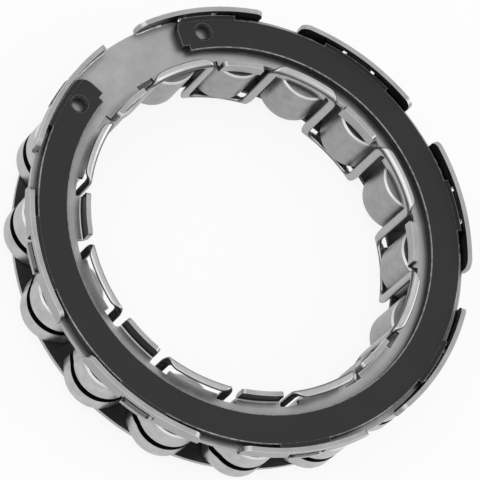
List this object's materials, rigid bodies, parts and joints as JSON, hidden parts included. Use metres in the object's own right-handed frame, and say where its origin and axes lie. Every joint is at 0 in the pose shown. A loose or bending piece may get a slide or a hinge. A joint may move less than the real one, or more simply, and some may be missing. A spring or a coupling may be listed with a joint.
{
  "type": "sprag clutch",
  "caption": "One-way clutch cartridge: a ring of steel sprags in a serpentine sheet-metal cage between two side plates, held by a black open retaining ring.",
  "frame": {"origin": "on the ring's axis, at the plane of the cage's rear bars, which is the lowest plane", "axes": "+Z along the ring's axis from the rear bars to the front rim; +Y through the middle of the retaining ring's opening"},
  "size_m": [0.0754, 0.0754, 0.0153],
  "materials": {
    "plate_steel": "satin pressed sheet",
    "dark_plate": "dark phosphated sheet",
    "black_oxide": "semi-matt black oxide",
    "cage_steel": "satin pressed sheet",
    "spring_steel": "drawn spring wire",
    "sprag_steel": "fine ground bearing steel"
  },
  "bodies": {
    "cartridge": {"front_side_plate": "plate_steel", "rear_side_plate": "dark_plate", "retaining_ring": "black_oxide", "spring_cage": "cage_steel", "energizing_spring": "spring_steel"},
    "sprag_01": {"sprag_01": "sprag_steel"},
    "sprag_02": {"sprag_02": "sprag_steel"},
    "sprag_03": {"sprag_03": "sprag_steel"},
    "sprag_04": {"sprag_04": "sprag_steel"},
    "sprag_05": {"sprag_05": "sprag_steel"},
    "sprag_06": {"sprag_06": "sprag_steel"},
    "sprag_07": {"sprag_07": "sprag_steel"},
    "sprag_08": {"sprag_08": "sprag_steel"},
    "sprag_09": {"sprag_09": "sprag_steel"},
    "sprag_10": {"sprag_10": "sprag_steel"},
    "sprag_11": {"sprag_11": "sprag_steel"},
    "sprag_12": {"sprag_12": "sprag_steel"},
    "sprag_13": {"sprag_13": "sprag_steel"},
    "sprag_14": {"sprag_14": "sprag_steel"},
    "sprag_15": {"sprag_15": "sprag_steel"},
    "sprag_16": {"sprag_16": "sprag_steel"}
  },
  "joints": [
    {"name": "sprag_01_rock", "type": "hinge", "parent": "cartridge", "child": "sprag_01", "pos_m": [0.03099, 0.00617, 0.00665], "axis": [0, 0, 1], "range_deg": [-3, 3]},
    {"name": "sprag_02_rock", "type": "hinge", "parent": "cartridge", "child": "sprag_02", "pos_m": [0.02627, 0.01756, 0.00665], "axis": [0, 0, 1], "range_deg": [-3, 3]},
    {"name": "sprag_03_rock", "type": "hinge", "parent": "cartridge", "child": "sprag_03", "pos_m": [0.01756, 0.02627, 0.00665], "axis": [0, 0, 1], "range_deg": [-3, 3]},
    {"name": "sprag_04_rock", "type": "hinge", "parent": "cartridge", "child": "sprag_04", "pos_m": [0.00617, 0.03099, 0.00665], "axis": [0, 0, 1], "range_deg": [-3, 3]},
    {"name": "sprag_05_rock", "type": "hinge", "parent": "cartridge", "child": "sprag_05", "pos_m": [-0.00617, 0.03099, 0.00665], "axis": [0, 0, 1], "range_deg": [-3, 3]},
    {"name": "sprag_06_rock", "type": "hinge", "parent": "cartridge", "child": "sprag_06", "pos_m": [-0.01756, 0.02627, 0.00665], "axis": [0, 0, 1], "range_deg": [-3, 3]},
    {"name": "sprag_07_rock", "type": "hinge", "parent": "cartridge", "child": "sprag_07", "pos_m": [-0.02627, 0.01756, 0.00665], "axis": [0, 0, 1], "range_deg": [-3, 3]},
    {"name": "sprag_08_rock", "type": "hinge", "parent": "cartridge", "child": "sprag_08", "pos_m": [-0.03099, 0.00617, 0.00665], "axis": [0, 0, 1], "range_deg": [-3, 3]},
    {"name": "sprag_09_rock", "type": "hinge", "parent": "cartridge", "child": "sprag_09", "pos_m": [-0.03099, -0.00617, 0.00665], "axis": [0, 0, 1], "range_deg": [-3, 3]},
    {"name": "sprag_10_rock", "type": "hinge", "parent": "cartridge", "child": "sprag_10", "pos_m": [-0.02627, -0.01756, 0.00665], "axis": [0, 0, 1], "range_deg": [-3, 3]},
    {"name": "sprag_11_rock", "type": "hinge", "parent": "cartridge", "child": "sprag_11", "pos_m": [-0.01756, -0.02627, 0.00665], "axis": [0, 0, 1], "range_deg": [-3, 3]},
    {"name": "sprag_12_rock", "type": "hinge", "parent": "cartridge", "child": "sprag_12", "pos_m": [-0.00617, -0.03099, 0.00665], "axis": [0, 0, 1], "range_deg": [-3, 3]},
    {"name": "sprag_13_rock", "type": "hinge", "parent": "cartridge", "child": "sprag_13", "pos_m": [0.00617, -0.03099, 0.00665], "axis": [0, 0, 1], "range_deg": [-3, 3]},
    {"name": "sprag_14_rock", "type": "hinge", "parent": "cartridge", "child": "sprag_14", "pos_m": [0.01756, -0.02627, 0.00665], "axis": [0, 0, 1], "range_deg": [-3, 3]},
    {"name": "sprag_15_rock", "type": "hinge", "parent": "cartridge", "child": "sprag_15", "pos_m": [0.02627, -0.01756, 0.00665], "axis": [0, 0, 1], "range_deg": [-3, 3]},
    {"name": "sprag_16_rock", "type": "hinge", "parent": "cartridge", "child": "sprag_16", "pos_m": [0.03099, -0.00617, 0.00665], "axis": [0, 0, 1], "range_deg": [-3, 3]}
  ],
  "couplings": [
    {"joint": "sprag_02_rock", "follows": "sprag_01_rock", "ratio": 1},
    {"joint": "sprag_03_rock", "follows": "sprag_01_rock", "ratio": 1},
    {"joint": "sprag_04_rock", "follows": "sprag_01_rock", "ratio": 1},
    {"joint": "sprag_05_rock", "follows": "sprag_01_rock", "ratio": 1},
    {"joint": "sprag_06_rock", "follows": "sprag_01_rock", "ratio": 1},
    {"joint": "sprag_07_rock", "follows": "sprag_01_rock", "ratio": 1},
    {"joint": "sprag_08_rock", "follows": "sprag_01_rock", "ratio": 1},
    {"joint": "sprag_09_rock", "follows": "sprag_01_rock", "ratio": 1},
    {"joint": "sprag_10_rock", "follows": "sprag_01_rock", "ratio": 1},
    {"joint": "sprag_11_rock", "follows": "sprag_01_rock", "ratio": 1},
    {"joint": "sprag_12_rock", "follows": "sprag_01_rock", "ratio": 1},
    {"joint": "sprag_13_rock", "follows": "sprag_01_rock", "ratio": 1},
    {"joint": "sprag_14_rock", "follows": "sprag_01_rock", "ratio": 1},
    {"joint": "sprag_15_rock", "follows": "sprag_01_rock", "ratio": 1},
    {"joint": "sprag_16_rock", "follows": "sprag_01_rock", "ratio": 1}
  ]
}
